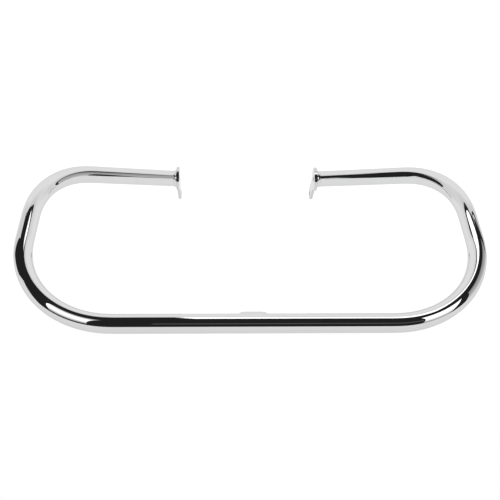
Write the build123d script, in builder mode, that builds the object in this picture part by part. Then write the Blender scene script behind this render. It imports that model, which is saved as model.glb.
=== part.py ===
"""Chromed steel crash bar for a motorcycle, lying front side up on a floor.

One bent tube makes a cross run at the front, two side runs that climb to the shoulders, and two end
bars that come down and in to the end plates. It rests on its cross run and on the tips of both plates.
X is across the bike, Y runs from the cross run towards the plates and Z is up, in millimetres.
The origin is on the floor, under the middle of the bar's outer box.
"""

import os
from math import cos, degrees, radians, sin, sqrt, tan

from build123d import *

# Tube, of one diameter and one bend radius throughout
tube_diameter = 31.75
tube_wall = 2.4
bend_radius = 158.75
cross_straight = 452.5
side_straight = 57.0

# Slopes of the straight runs, in degrees
side_rise = 25.0
side_lean = 2.8
end_sweep = 39.2
end_fall = 26.1

# End plates, which bolt to both sides of the bike's frame
plate_gap = 275.0
plate_thickness = 6.0
plate_land = 3.5
lug_reach = 55.0
lug_radius = 12.7
lug_fillet = 3.0
bolt_hole_diameter = 10.5
vent_hole_diameter = 9.5

# Centre tab behind the cross run
tab_width = 50.8
tab_reach = 47.0
tab_thickness = 6.0
tab_drop = 12.0
tab_corner_radius = 14.0
tab_hole_inset = 15.0
tab_hole_diameter = 10.5

# Broken edges of the plates and the tab
edge_chamfer = 0.5
hole_chamfer = 0.5

# Weld collars round the tube's ends, and weld beads along the tab
weld_height = 6.0
weld_toe = 0.3
weld_margin = 0.4
tab_weld_leg = 5.0
tab_weld_hollow = 12.0

tube_radius = tube_diameter / 2

# Directions of the right-hand straight runs
cross_direction = Vector(1, 0, 0)
side_direction = Vector(
    -sin(radians(side_lean)),
    cos(radians(side_lean)) * cos(radians(side_rise)),
    cos(radians(side_lean)) * sin(radians(side_rise)),
)
end_direction = Vector(
    -cos(radians(end_sweep)),
    sin(radians(end_sweep)) * cos(radians(end_fall)),
    -sin(radians(end_sweep)) * sin(radians(end_fall)),
)

# Length that each bend takes from the runs beside it
corner_setback = bend_radius * tan(radians(cross_direction.get_angle(side_direction) / 2))
shoulder_setback = bend_radius * tan(radians(side_direction.get_angle(end_direction) / 2))

# Corner points of the right half, measured from the middle of the cross run's axis
plate_inner = plate_gap / 2
plate_outer = plate_inner + plate_thickness
corner = cross_direction * (cross_straight / 2 + corner_setback)
shoulder = corner + side_direction * (corner_setback + side_straight + shoulder_setback)
end = shoulder + end_direction * ((plate_outer - shoulder.X) / end_direction.X)

# The outer box is centred over the origin, and the cross run lies on the floor
overall_depth = tube_radius + end.Y + lug_reach + lug_radius
cross_axis = Vector(0, tube_radius - overall_depth / 2, tube_radius)
corner += cross_axis
shoulder += cross_axis
end += cross_axis

# The slanted tube is cut flush with the plate, which it meets in an ellipse
mitre_length = tube_radius / cos(radians(end_sweep))
mitre_tail = end + end_direction * tube_diameter
boss_radius = mitre_length + plate_land
boss_centre = (end.Y, end.Z)
lug_centre = (end.Y + lug_reach, lug_radius)


def across(point):
    """The same point on the left of the bike."""
    return Vector(-point.X, point.Y, point.Z)


# Bent tube: four bends of one radius, in two planes a side, and both ends cut along the bike
with BuildPart() as bent_tube:
    with BuildLine() as centre_line:
        FilletPolyline(
            across(mitre_tail),
            across(shoulder),
            across(corner),
            corner,
            shoulder,
            mitre_tail,
            radius=bend_radius,
        )
    with BuildSketch(Plane(origin=centre_line.line @ 0, z_dir=centre_line.line % 0)):
        Circle(tube_radius)
        Circle(tube_radius - tube_wall, mode=Mode.SUBTRACT)
    sweep()
    with BuildSketch(Plane.YZ.offset(plate_outer)):
        with Locations(boss_centre):
            Circle(2 * boss_radius)
    extrude(amount=-2 * plate_outer, mode=Mode.SUBTRACT)

# End plates: a round boss and a parallel-sided lug, with a vent hole into the tube and a bolt hole
with BuildPart() as right_end_plate:
    with BuildSketch(Plane.YZ.offset(plate_inner)) as plate_outline:
        with Locations(boss_centre, lug_centre):
            Circle(lug_radius)
        make_hull()
        with Locations(boss_centre):
            Circle(boss_radius)
        lug_flanks = plate_outline.edges().filter_by(GeomType.LINE)
        fillet(lug_flanks.vertices().sort_by_distance(boss_centre)[:2], lug_fillet)
    extrude(amount=plate_thickness)
    chamfer(right_end_plate.edges().filter_by(Plane.YZ), edge_chamfer)
    with BuildSketch(Plane.YZ.offset(plate_inner)):
        with Locations(boss_centre):
            Circle(vent_hole_diameter / 2)
        with Locations(lug_centre):
            Circle(bolt_hole_diameter / 2)
    extrude(amount=plate_thickness, mode=Mode.SUBTRACT)
    chamfer(right_end_plate.edges(Select.LAST).filter_by(GeomType.CIRCLE), hole_chamfer)

with BuildPart() as left_end_plate:
    mirror(right_end_plate.part, about=Plane.YZ)

# End welds: a hollow-faced collar from the boss to the slanted tube, which thins out along the tube
weld_foot = boss_radius - edge_chamfer - weld_margin
weld_steps = (0, 0.3, 0.6, 1)
with BuildPart() as right_end_weld:
    for step in weld_steps:
        height = weld_height * step
        drift = height * tan(radians(end_sweep))
        drift_y = -drift * cos(radians(end_fall))
        drift_z = drift * sin(radians(end_fall))
        share = 1 - sqrt(1 - (1 - step) ** 2)
        with BuildSketch(Plane.YZ.offset(plate_outer + height)):
            with Locations((end.Y + drift_y, end.Z + drift_z)):
                Ellipse(
                    (mitre_length + weld_toe) * (1 - share) + weld_foot * share,
                    (tube_radius + weld_toe) * (1 - share) + weld_foot * share,
                    rotation=-end_fall,
                )
    loft(ruled=True)
    with BuildSketch(Plane(origin=end, z_dir=end_direction)):
        Circle(tube_radius)
    extrude(amount=2 * boss_radius, both=True, mode=Mode.SUBTRACT)

with BuildPart() as left_end_weld:
    mirror(right_end_weld.part, about=Plane.YZ)

# Centre tab: a flat plate with a round-cornered tip, coped to the tube
tab_direction = Vector(0, cos(radians(tab_drop)), -sin(radians(tab_drop)))
tab_normal = Vector(0, sin(radians(tab_drop)), cos(radians(tab_drop)))
tab_plane = Plane(origin=cross_axis, x_dir=cross_direction, z_dir=tab_normal)
tab_section = Plane(origin=cross_axis, x_dir=tab_direction, z_dir=cross_direction)
with BuildPart() as centre_tab:
    with BuildSketch(tab_plane.offset(-tab_thickness / 2)) as tab_outline:
        with Locations((0, tab_reach / 2)):
            Rectangle(tab_width, tab_reach)
        fillet(tab_outline.vertices().group_by(Axis.Y)[-1], tab_corner_radius)
    extrude(amount=tab_thickness)
    chamfer(centre_tab.edges().filter_by(tab_plane), edge_chamfer)
    with BuildSketch(tab_section):
        Circle(tube_radius)
    extrude(amount=tab_width, both=True, mode=Mode.SUBTRACT)
    with BuildSketch(tab_plane.offset(-tab_thickness / 2)):
        with Locations((0, tab_reach - tab_hole_inset)):
            Circle(tab_hole_diameter / 2)
    extrude(amount=tab_thickness, mode=Mode.SUBTRACT)
    chamfer(centre_tab.edges(Select.LAST).filter_by(GeomType.CIRCLE), hole_chamfer)

# Tab welds: a hollow-faced bead in each corner between the tab and the tube
tab_root = Vector(sqrt(tube_radius**2 - (tab_thickness / 2) ** 2), tab_thickness / 2)
tab_toe = tab_root + Vector(tab_weld_leg, 0)
tube_toe = tab_root.rotate(Axis.Z, degrees(tab_weld_leg / tube_radius))
with BuildPart() as upper_tab_weld:
    with BuildSketch(tab_section):
        with BuildLine():
            Line(tab_root, tab_toe)
            RadiusArc(tab_toe, tube_toe, tab_weld_hollow)
            RadiusArc(tube_toe, tab_root, tube_radius)
        make_face()
    extrude(amount=tab_width / 2 - edge_chamfer, both=True)

with BuildPart() as lower_tab_weld:
    mirror(upper_tab_weld.part, about=tab_plane)

pieces = {
    "bent_tube": bent_tube,
    "left_end_plate": left_end_plate,
    "right_end_plate": right_end_plate,
    "left_end_weld": left_end_weld,
    "right_end_weld": right_end_weld,
    "centre_tab": centre_tab,
    "upper_tab_weld": upper_tab_weld,
    "lower_tab_weld": lower_tab_weld,
}
os.makedirs("parts", exist_ok=True)
for name, piece in pieces.items():
    piece.part.label = name
    export_step(piece.part, f"parts/{name}.step")
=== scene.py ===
"""A chromed motorcycle crash bar on a white studio floor, seen from the front and above.

Lengths are in metres, in the CAD frame, and angles in degrees. A light of 1 shows as white.
"""
from math import cos, pi, radians, sin, tan

import bpy
from mathutils import Euler, Matrix, Vector


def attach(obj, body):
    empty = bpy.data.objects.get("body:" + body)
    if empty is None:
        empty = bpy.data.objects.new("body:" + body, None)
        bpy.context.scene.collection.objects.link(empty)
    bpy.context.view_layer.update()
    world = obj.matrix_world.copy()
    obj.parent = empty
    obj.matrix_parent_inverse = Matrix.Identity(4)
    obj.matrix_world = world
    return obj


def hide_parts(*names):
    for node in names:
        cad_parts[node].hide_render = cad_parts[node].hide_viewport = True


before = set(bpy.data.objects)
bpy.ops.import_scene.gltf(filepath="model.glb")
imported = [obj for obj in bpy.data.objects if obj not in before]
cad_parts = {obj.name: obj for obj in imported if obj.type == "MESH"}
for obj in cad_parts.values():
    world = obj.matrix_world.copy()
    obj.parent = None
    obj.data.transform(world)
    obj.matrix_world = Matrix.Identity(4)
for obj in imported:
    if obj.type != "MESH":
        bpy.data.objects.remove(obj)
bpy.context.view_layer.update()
scene = bpy.context.scene

# Camera, at the photograph's place and angle; its lens and sensor are in millimetres
CAMERA_PLACE = (-0.0519, -1.3485, 0.7220)
CAMERA_TILT = 62.24
CAMERA_TURN = -2.26
CAMERA_ROLL = 1.06
CAMERA_LENS = 58.8
CAMERA_SENSOR = 36.0

# Bent tube, with the corners of its route's right half, from the cross run to the end plate
TUBE_RADIUS = 0.015875
TUBE_BORE = 0.013475
TUBE_END_X = 0.1435
TUBE_HALF = (
    (0.392954, -0.257856, TUBE_RADIUS),
    (0.377156, 0.034899, 0.152389),
    (TUBE_END_X, 0.206031, 0.068552),
)

# Bends, all of one radius, and the length over which each eases in and out
BEND_RADIUS = 0.15875
BEND_EASE = 0.030

# Weld collars round the tube's ends, which come in at a slant
END_SWEEP = radians(39.2)
END_FALL = radians(26.1)
WELD_HEIGHT = 0.006
WELD_TOE = 0.0003
WELD_FOOT = 0.023085

# Points round a ring, steps up a collar's face, and steps along a bend with the parts each is summed in
RING_STEPS = 72
WELD_STEPS = 12
BEND_STEPS = 48
BEND_PARTS = 40

# Angle above which an edge of a smoother piece stays sharp
SHARP_ANGLE = 30

# Chrome: the two colours that its haze blends, and how much it mirrors at a glancing angle
TUBE_COLOURS = ((0.635, 0.635, 0.64, 1), (0.66, 0.66, 0.665, 1))
# The plates' chrome is darker than the tube's: painted shade that dims the plates' faces
PLATE_SHADED_COLOURS = ((0.57, 0.57, 0.575, 1), (0.61, 0.61, 0.615, 1))
TAB_COLOURS = ((0.61, 0.61, 0.615, 1), (0.65, 0.65, 0.655, 1))
WELD_COLOURS = TAB_COLOURS
CHROME_EDGE = (0.84, 0.84, 0.84, 1)

# Haze in the chrome's gloss: over a range of the noise, roughness goes from its least to its greatest
HAZE_SCALE = 38.0
HAZE_DETAIL = 4.0
HAZE_RANGE = (0.3, 0.7)
TUBE_ROUGHNESS = (0.01, 0.04)
PLATE_ROUGHNESS = (0.03, 0.08)
WELD_ROUGHNESS = (0.02, 0.07)

# Slow waves and fine polishing grain in the chrome's face
WAVE_SCALE = 22.0
WAVE_DETAIL = 1.0
WAVE_HEIGHT = 0.00003
WELD_WAVE_HEIGHT = 0.00004
GRAIN_SCALE = 900.0
GRAIN_DETAIL = 2.0
GRAIN_HEIGHT = 0.000002
TUBE_GRAIN_HEIGHT = 0.000001

# Thin plating on the walls of the holes
BARE_COLOUR = (0.22, 0.22, 0.225, 1)
BARE_ROUGHNESS = 0.5

# Holes, each with its middle, the turn of its axis away from Z, and its radius with the broken edge
PLATE_HOLES = (
    ((0, 0.2610, 0.0127), (0, 90, 0), 0.0056),
    ((0, 0.2060, 0.0686), (0, 90, 0), 0.0051),
)
TAB_HOLES = (((0, -0.2266, 0.0092), (-12, 0, 0), 0.0056),)

# Dark room round the studio
ROOM_HALF = 6.0
ROOM_HEIGHTS = (-3.0, 6.0)
ROOM_LIGHT = 0.022

# Light tent over and behind the bar, with the front edge of its roof at even steps from left to right
TENT_SIDES = (-1.322, 1.298)
TENT_FRONT = (0.56, 0.472, 0.415, 0.467, 0.362, 0.495)
TENT_RIGHT_LEAN = 0.05
TENT_BACK = 2.6
TENT_HEIGHT = 1.853

# The tent's light, the depth over which it fades towards the front, and the share that is left there
TENT_LIGHT = 1.119
TENT_FADE = 0.503
TENT_FADE_LIGHT = 0.734

# White board on the tent's left, and a white flap with a dark trim on its right
BOARD = ((-1.322, 0.375), (-1.322, 0.7))
BOARD_HEIGHT = 1.5
BOARD_LIGHT = 0.95
FLAP = ((1.243, 0.423), (1.51, 0.6))
FLAP_TRIM = ((1.238, 0.36), (1.243, 0.423))
FLAP_LIGHT = 1.0

# Grey wall on the right, with its light at even steps from the floor up
SIDE_WALL = ((2.33, -0.669), (2.33, 0.886))
SIDE_WALL_HEIGHT = 2.6
SIDE_WALL_LIGHT = (0.886, 0.557, 0.486, 0.033, 0.0)

# Faint strip behind the camera
STRIP_WALL = ((-0.37, -2.4), (1.73, -2.4))
STRIP_HEIGHTS = (1.085, 1.433)
STRIP_LIGHT = 0.148

# White three-cornered card on the left, with half the width of its foot
CARD_SIDE = -1.0
CARD_MIDDLE = -0.2
CARD_HALF = 0.235
CARD_HEIGHT = 0.311
CARD_LIGHT = 1.045

# Softboxes; a fade lists places from the first side to the last, each with its share of the light
SOFTBOX_LIGHT = 1.968
TOP_SOFTBOX = (
    (-0.137, -0.264),
    (0.746, -0.264),
    (0.746, 0.2),
    (-0.218, 0.244),
)
TOP_SOFTBOX_HEIGHT = 1.411
TOP_SOFTBOX_FADE = ((0, 0), (0.05, 1))
SIDE_SOFTBOXES = {
    "left_softbox": {
        "centre": (-1.029, -1.011, 0.855),
        "target": (-0.33, -0.2, 0.05),
        "roll": -1.031,
        "lower_width": 0.981,
        "upper_width": 0.497,
        "height": 1.728,
        "fade": ((0, 0), (0.503, 1), (0.669, 1), (1, 0)),
    },
    "right_softbox": {
        "centre": (1.322, -1.126, 0.589),
        "target": (0.33, -0.2, 0.05),
        "roll": 8.562,
        "lower_width": 0.73,
        "upper_width": 0.73,
        "height": 1.635,
        "fade": ((0, 0), (0.607, 1), (0.981, 1), (1, 0)),
    },
}

# Floor, with a low white border on its left and on its right
FLOOR_SIDE = 3.0
FLOOR_FRONT = -0.5
FLOOR_LIGHT = 0.9
FLOOR_COLOUR = (0.26, 0.26, 0.26, 1)
LEFT_BORDER_HEIGHT = 0.325
RIGHT_BORDER_HEIGHT = 0.4
BORDER_LIGHT = 1.021


def make_camera():
    """A camera at the photograph's viewing angle."""
    data = bpy.data.cameras.new("camera")
    data.lens = CAMERA_LENS
    data.sensor_width = CAMERA_SENSOR
    camera = bpy.data.objects.new("camera", data)
    turn = Euler((radians(CAMERA_TILT), 0, radians(CAMERA_TURN))).to_matrix()
    turn = turn @ Matrix.Rotation(radians(CAMERA_ROLL), 3, "Z")
    camera.matrix_world = Matrix.Translation(CAMERA_PLACE) @ turn.to_4x4()
    scene.collection.objects.link(camera)
    scene.camera = camera


def feed(tree, socket, value):
    """Sets a socket to a value, or links it to another node's socket."""
    if isinstance(value, bpy.types.NodeSocket):
        tree.links.new(value, socket)
    else:
        socket.default_value = value


def add_node(tree, kind, **inputs):
    """A new node, with its inputs set from the keywords; underscores stand for spaces."""
    node = tree.nodes.new(kind)
    for name, value in inputs.items():
        feed(tree, node.inputs[name.replace("_", " ")], value)
    return node


def add_math(tree, kind, operation, *inputs):
    """The result of an operation on numbers or vectors, with its inputs in order."""
    node = tree.nodes.new(kind)
    node.operation = operation
    for socket, value in zip(node.inputs, inputs):
        feed(tree, socket, value)
    return next(socket for socket in node.outputs if socket.enabled)


def new_material(name):
    """An empty material and its node tree."""
    material = bpy.data.materials.new(name)
    material.use_nodes = True
    material.node_tree.nodes.clear()
    return material, material.node_tree


def show(tree, surface):
    """Makes a shader the face of its material."""
    add_node(tree, "ShaderNodeOutputMaterial", Surface=surface)


def inside_hole(tree, place, holes):
    """1 on the walls of the holes and 0 elsewhere."""
    across_axis = (1, 1, 0)
    mask = None
    for middle, turn, radius in holes:
        local = add_node(
            tree, "ShaderNodeMapping", Vector=place,
            Location=middle, Rotation=[radians(angle) for angle in turn],
        )
        local.vector_type = "TEXTURE"
        flat = add_math(tree, "ShaderNodeVectorMath", "MULTIPLY", local.outputs["Vector"], across_axis)
        distance = add_math(tree, "ShaderNodeVectorMath", "LENGTH", flat)
        near = add_math(tree, "ShaderNodeMath", "LESS_THAN", distance, radius)
        mask = add_math(tree, "ShaderNodeMath", "MAXIMUM", mask, near) if mask else near
    return mask


def blend(tree, kind, factor, first, second):
    """A mix of two numbers or colours; each may be a value or a socket."""
    mix = tree.nodes.new("ShaderNodeMix")
    mix.data_type = kind
    factor_socket, *_, first_socket, second_socket = [s for s in mix.inputs if s.enabled]
    feed(tree, factor_socket, factor)
    feed(tree, first_socket, first)
    feed(tree, second_socket, second)
    return next(socket for socket in mix.outputs if socket.enabled)


def chrome(name, colours, roughness, wave_height, grain_height, holes=()):
    """Polished chrome: faint haze in its gloss, slow waves in its face and a fine polishing grain."""
    material, tree = new_material(name)
    place = add_node(tree, "ShaderNodeTexCoord").outputs["Object"]
    haze = add_node(
        tree, "ShaderNodeTexNoise", Vector=place, Scale=HAZE_SCALE, Detail=HAZE_DETAIL,
    ).outputs["Fac"]
    colour = blend(tree, "RGBA", haze, *colours)
    gloss = add_node(
        tree, "ShaderNodeMapRange", Value=haze,
        From_Min=HAZE_RANGE[0], From_Max=HAZE_RANGE[1],
        To_Min=roughness[0], To_Max=roughness[1],
    ).outputs["Result"]
    if holes:
        mask = inside_hole(tree, place, holes)
        colour = blend(tree, "RGBA", mask, colour, BARE_COLOUR)
        gloss = blend(tree, "FLOAT", mask, gloss, BARE_ROUGHNESS)
    slow = add_node(tree, "ShaderNodeTexNoise", Vector=place, Scale=WAVE_SCALE, Detail=WAVE_DETAIL)
    fine = add_node(tree, "ShaderNodeTexNoise", Vector=place, Scale=GRAIN_SCALE, Detail=GRAIN_DETAIL)
    waves = add_node(
        tree, "ShaderNodeBump", Strength=1.0, Distance=wave_height, Height=slow.outputs["Fac"],
    )
    grain = add_node(
        tree, "ShaderNodeBump", Strength=1.0, Distance=grain_height,
        Height=fine.outputs["Fac"], Normal=waves.outputs["Normal"],
    )
    shader = add_node(
        tree, "ShaderNodeBsdfPrincipled", Metallic=1.0, Base_Color=colour, Roughness=gloss,
        Specular_Tint=CHROME_EDGE, Normal=grain.outputs["Normal"],
    )
    show(tree, shader.outputs["BSDF"])
    return material


def glow(name, strength):
    """A panel that shines evenly."""
    material, tree = new_material(name)
    show(tree, add_node(tree, "ShaderNodeEmission", Strength=strength).outputs["Emission"])
    return material


def fading_glow(name, axis, fade, strength):
    """A panel whose light changes along one axis, from its first side to its last."""
    material, tree = new_material(name)
    place = add_node(tree, "ShaderNodeTexCoord").outputs["Generated"]
    along = add_node(tree, "ShaderNodeSeparateXYZ", Vector=place).outputs[axis]
    ramp = add_node(tree, "ShaderNodeValToRGB", Fac=along)
    points = ramp.color_ramp.elements
    while len(points) < len(fade):
        points.new(1.0)
    for point, (position, light) in zip(points, fade):
        point.position = position
        point.color = (light, light, light, 1)
    shader = add_node(tree, "ShaderNodeEmission", Color=ramp.outputs["Color"], Strength=strength)
    show(tree, shader.outputs["Emission"])
    return material


def floor_white():
    """White, lit from below, and shaded by the bar."""
    material, tree = new_material("floor_white")
    light = add_node(tree, "ShaderNodeEmission", Strength=FLOOR_LIGHT)
    matt = add_node(tree, "ShaderNodeBsdfDiffuse", Color=FLOOR_COLOUR)
    both = add_node(tree, "ShaderNodeAddShader")
    tree.links.new(light.outputs["Emission"], both.inputs[0])
    tree.links.new(matt.outputs["BSDF"], both.inputs[1])
    show(tree, both.outputs["Shader"])
    return material


def stage_piece(name, corners, faces, material):
    """A piece of the studio that only the chrome and the floor see."""
    mesh = bpy.data.meshes.new(name)
    mesh.from_pydata(corners, [], faces)
    mesh.materials.append(material)
    piece = bpy.data.objects.new(name, mesh)
    piece.visible_camera = False
    piece.visible_shadow = False
    scene.collection.objects.link(piece)
    return piece


def level_piece(name, outline, height, material):
    """A level sheet at one height."""
    corners = [(x, y, height) for x, y in outline]
    return stage_piece(name, corners, [range(len(corners))], material)


def upright_piece(name, line, low, high, material):
    """A wall over a straight line on the floor, between two heights."""
    corners = [(x, y, z) for x, y in line for z in (low, high)]
    return stage_piece(name, corners, [(0, 1, 3, 2)], material)


def make_world():
    """White to the camera and in metal; dim as a light."""
    world = bpy.data.worlds.new("studio")
    world.use_nodes = True
    tree = world.node_tree
    tree.nodes.clear()
    path = add_node(tree, "ShaderNodeLightPath").outputs
    seen = path["Is Camera Ray"]
    for kind in ("Is Glossy Ray", "Is Transmission Ray"):
        seen = add_math(tree, "ShaderNodeMath", "MAXIMUM", seen, path[kind])
    amount = add_node(tree, "ShaderNodeMapRange", Value=seen, To_Min=ROOM_LIGHT, To_Max=1.0)
    light = add_node(
        tree, "ShaderNodeBackground", Color=(1, 1, 1, 1), Strength=amount.outputs["Result"],
    )
    add_node(tree, "ShaderNodeOutputWorld", Surface=light.outputs["Background"])
    scene.world = world


def make_room():
    """The dark room round the tent, which the chrome shows as its dark bands."""
    near, far = -ROOM_HALF, ROOM_HALF
    plan = ((near, near), (far, near), (far, far), (near, far))
    corners = [(x, y, z) for z in ROOM_HEIGHTS for x, y in plan]
    sides = len(plan)
    faces = [range(sides), range(sides, 2 * sides)]
    for i in range(sides):
        j = (i + 1) % sides
        faces.append((i, j, j + sides, i + sides))
    stage_piece("dark_room", corners, faces, glow("room_dark", ROOM_LIGHT))


def make_tent():
    """A box of white cloth behind and over the bar, open at the front, where its light falls off."""
    left, right = TENT_SIDES
    steps = len(TENT_FRONT) - 1
    front = [
        (left + (right - left) * i / steps, y, TENT_HEIGHT) for i, y in enumerate(TENT_FRONT)
    ]
    corners = front + [
        (right, TENT_BACK, TENT_HEIGHT),
        (left, TENT_BACK, TENT_HEIGHT),
        (left, TENT_FRONT[0], 0),
        (right, TENT_FRONT[-1] + TENT_RIGHT_LEAN, 0),
        (right, TENT_BACK, 0),
        (left, TENT_BACK, 0),
    ]
    front_left, *between, front_right = range(len(front))
    roof_right, roof_left, foot_left, foot_right, back_right, back_left = range(
        len(front), len(corners)
    )
    faces = [
        (front_left, *between, front_right, roof_right, roof_left),
        (front_left, foot_left, back_left, roof_left),
        (front_right, roof_right, back_right, foot_right),
        (roof_left, back_left, back_right, roof_right),
    ]
    depth = TENT_BACK - min(y for x, y, z in corners)
    fade = ((0, TENT_FADE_LIGHT), (TENT_FADE / depth, 1))
    stage_piece("tent", corners, faces, fading_glow("tent_white", "Y", fade, TENT_LIGHT))


def make_panels():
    """The boards, walls and card that stand round the bar."""
    upright_piece("white_board", BOARD, 0, BOARD_HEIGHT, glow("board_white", BOARD_LIGHT))
    upright_piece("tent_flap", FLAP, 0, TENT_HEIGHT, glow("flap_white", FLAP_LIGHT))
    upright_piece("flap_trim", FLAP_TRIM, 0, TENT_HEIGHT, glow("trim_dark", ROOM_LIGHT))
    steps = len(SIDE_WALL_LIGHT) - 1
    fade = [(i / steps, light) for i, light in enumerate(SIDE_WALL_LIGHT)]
    wall = fading_glow("wall_grey", "Z", fade, 1)
    upright_piece("side_wall", SIDE_WALL, 0, SIDE_WALL_HEIGHT, wall)
    upright_piece("front_strip", STRIP_WALL, *STRIP_HEIGHTS, glow("strip_grey", STRIP_LIGHT))
    card = (
        (CARD_SIDE, CARD_MIDDLE - CARD_HALF, 0),
        (CARD_SIDE, CARD_MIDDLE + CARD_HALF, 0),
        (CARD_SIDE, CARD_MIDDLE, CARD_HEIGHT),
    )
    stage_piece("white_card", card, [(0, 1, 2)], glow("card_white", CARD_LIGHT))


def side_softbox(name, centre, target, roll, lower_width, upper_width, height, fade):
    """A lamp with a flat white front, turned to a point on the bar."""
    low, high, half = lower_width / 2, upper_width / 2, height / 2
    turn = (Vector(target) - Vector(centre)).to_track_quat("Z", "Y").to_matrix()
    turn = turn @ Matrix.Rotation(radians(roll), 3, "Z")
    outline = ((-low, -half, 0), (low, -half, 0), (high, half, 0), (-high, half, 0))
    corners = [Vector(centre) + turn @ Vector(corner) for corner in outline]
    white = fading_glow(f"{name}_white", "Z", fade, SOFTBOX_LIGHT)
    stage_piece(name, corners, [(0, 1, 2, 3)], white)


def make_softboxes():
    """The lamps over the bar and on both sides of the camera."""
    white = fading_glow("top_softbox_white", "X", TOP_SOFTBOX_FADE, SOFTBOX_LIGHT)
    level_piece("top_softbox", TOP_SOFTBOX, TOP_SOFTBOX_HEIGHT, white)
    for name, lamp in SIDE_SOFTBOXES.items():
        side_softbox(name, **lamp)


def make_floor():
    """The floor, which the camera sees too, and the borders along its sides."""
    border = glow("border_white", BORDER_LIGHT)
    left = ((-FLOOR_SIDE, FLOOR_FRONT), (-FLOOR_SIDE, TENT_BACK))
    right = ((FLOOR_SIDE, FLOOR_FRONT), (FLOOR_SIDE, TENT_BACK))
    upright_piece("left_border", left, 0, LEFT_BORDER_HEIGHT, border)
    upright_piece("right_border", right, 0, RIGHT_BORDER_HEIGHT, border)
    outline = (left[0], right[0], right[1], left[1])
    floor = level_piece("floor", outline, 0, floor_white())
    floor.visible_camera = True
    floor.visible_shadow = True


def smooth_piece(name, node, points, faces):
    """A smoother form of a CAD node, in its place."""
    mesh = bpy.data.meshes.new(name)
    mesh.from_pydata(points, [], faces)
    mesh.shade_smooth()
    mesh.set_sharp_from_angle(angle=radians(SHARP_ANGLE))
    piece = bpy.data.objects.new(name, mesh)
    scene.collection.objects.link(piece)
    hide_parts(node)
    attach(piece, "root")
    return piece


def eased_bend(corner, before, after):
    """Points along a bend, as a bender leaves it: its curve tightens and slackens evenly at its ends."""
    angle = before.angle(after)
    side = (after - before * before.dot(after)).normalized()
    length = BEND_RADIUS * angle + BEND_EASE
    step = length / (BEND_STEPS * BEND_PARTS)
    along, inward, spots = 0.0, 0.0, [(0.0, 0.0)]
    for i in range(BEND_STEPS):
        for j in range(BEND_PARTS):
            place = (i * BEND_PARTS + j + 0.5) * step
            if place < BEND_EASE:
                turn = place**2 / (2 * BEND_RADIUS * BEND_EASE)
            elif place < length - BEND_EASE:
                turn = (place - BEND_EASE / 2) / BEND_RADIUS
            else:
                turn = angle - (length - place) ** 2 / (2 * BEND_RADIUS * BEND_EASE)
            along += cos(turn) * step
            inward += sin(turn) * step
        spots.append((along, inward))
    start = corner - before * (inward / sin(angle))
    return [start + before * u + side * v for u, v in spots]


def tube_line():
    """Points along the middle of the tube, from its left end to its right one."""
    corners = [Vector((-x, y, z)) for x, y, z in reversed(TUBE_HALF)]
    corners += [Vector(corner) for corner in TUBE_HALF]
    runs = [(b - a).normalized() for a, b in zip(corners, corners[1:])]
    line = [corners[0]]
    for corner, before, after in zip(corners[1:-1], runs, runs[1:]):
        line += eased_bend(corner, before, after)
    return line + [corners[-1]]


def tube_ring(centre, first, second, radius):
    """A circle across the tube, in the plane of two directions."""
    angles = [2 * pi * i / RING_STEPS for i in range(RING_STEPS)]
    return [centre + (first * cos(a) + second * sin(a)) * radius for a in angles]


def make_tube():
    """The bent tube with eased bends, hollow, and both ends cut along the bike."""
    line = tube_line()
    steps = [(b - a).normalized() for a, b in zip(line, line[1:])]
    headings = [(a + b).normalized() for a, b in zip(steps, steps[1:])]
    headings = [steps[0]] + headings + [steps[-1]]
    first = headings[0].orthogonal().normalized()
    skin, bore = [], []
    for i, (centre, heading) in enumerate(zip(line, headings)):
        if i:
            first = headings[i - 1].rotation_difference(heading) @ first
        second = heading.cross(first)
        for points, radius in ((skin, TUBE_RADIUS), (bore, TUBE_BORE)):
            ring = tube_ring(centre, first, second, radius)
            if i in (0, len(line) - 1):
                cut = TUBE_END_X if centre.x > 0 else -TUBE_END_X
                ring = [point + heading * ((cut - point.x) / heading.x) for point in ring]
            points += ring
    inner = len(skin)
    last = inner - RING_STEPS
    faces = []
    for j in range(RING_STEPS):
        k = (j + 1) % RING_STEPS
        for a in range(0, last, RING_STEPS):
            b = a + RING_STEPS
            faces.append((a + j, a + k, b + k, b + j))
            faces.append((inner + a + j, inner + b + j, inner + b + k, inner + a + k))
        faces.append((j, inner + j, inner + k, k))
        faces.append((last + j, last + k, inner + last + k, inner + last + j))
    return smooth_piece("eased_tube", "bent_tube", skin + bore, faces)


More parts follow.
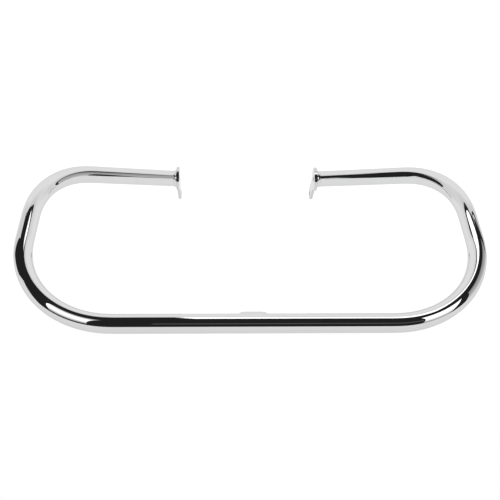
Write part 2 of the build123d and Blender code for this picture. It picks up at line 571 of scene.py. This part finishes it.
def weld_ring(side, height, wide, tall):
    """An ellipse round the slanted tube, at a height above the plate."""
    end = Vector(TUBE_HALF[-1])
    drift = height * tan(END_SWEEP)
    points = []
    for i in range(RING_STEPS):
        angle = 2 * pi * i / RING_STEPS
        u, v = wide * cos(angle) - drift, tall * sin(angle)
        y = end.y + u * cos(END_FALL) + v * sin(END_FALL)
        z = end.z - u * sin(END_FALL) + v * cos(END_FALL)
        points.append((side * (end.x + height), y, z))
    return points


def make_weld(name, node, side):
    """A hollow-faced collar from the plate to the tube, with its bore on the tube's skin."""
    wide, tall = TUBE_RADIUS / cos(END_SWEEP), TUBE_RADIUS
    points = []
    for i in range(WELD_STEPS + 1):
        turn = pi / 2 * i / WELD_STEPS
        share = 1 - sin(turn)
        outer = [(axis + WELD_TOE) * (1 - share) + WELD_FOOT * share for axis in (wide, tall)]
        points += weld_ring(side, WELD_HEIGHT * (1 - cos(turn)), *outer)
    for height in (WELD_HEIGHT, 0):
        points += weld_ring(side, height, wide, tall)
    faces = []
    for a in range(0, len(points), RING_STEPS):
        b = (a + RING_STEPS) % len(points)
        for j in range(RING_STEPS):
            k = (j + 1) % RING_STEPS
            faces.append((a + j, a + k, b + k, b + j)[::side])
    return smooth_piece(name, node, points, faces)


def dress_nodes():
    """Chrome on every node, with smoother forms of the tube and the weld collars."""
    tube = chrome("tube_chrome", TUBE_COLOURS, TUBE_ROUGHNESS, WAVE_HEIGHT, TUBE_GRAIN_HEIGHT)
    # The plates get a darker copy of the chrome, as painted shade
    plate = chrome(
        "plate_chrome", PLATE_SHADED_COLOURS, PLATE_ROUGHNESS, WAVE_HEIGHT, GRAIN_HEIGHT, PLATE_HOLES,
    )
    tab = chrome("tab_chrome", TAB_COLOURS, PLATE_ROUGHNESS, WAVE_HEIGHT, GRAIN_HEIGHT, TAB_HOLES)
    weld = chrome("weld_chrome", WELD_COLOURS, WELD_ROUGHNESS, WELD_WAVE_HEIGHT, GRAIN_HEIGHT)
    make_tube().data.materials.append(tube)
    make_weld("left_collar", "left_end_weld", -1).data.materials.append(weld)
    make_weld("right_collar", "right_end_weld", 1).data.materials.append(weld)
    finish = {
        "bent_tube": tube,
        "left_end_plate": plate,
        "right_end_plate": plate,
        "centre_tab": tab,
    }
    for name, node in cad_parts.items():
        for slot in node.material_slots:
            slot.material = finish.get(name, weld)


make_camera()
make_world()
make_room()
make_tent()
make_panels()
make_softboxes()
make_floor()
dress_nodes()
scene.view_settings.view_transform = "Standard"
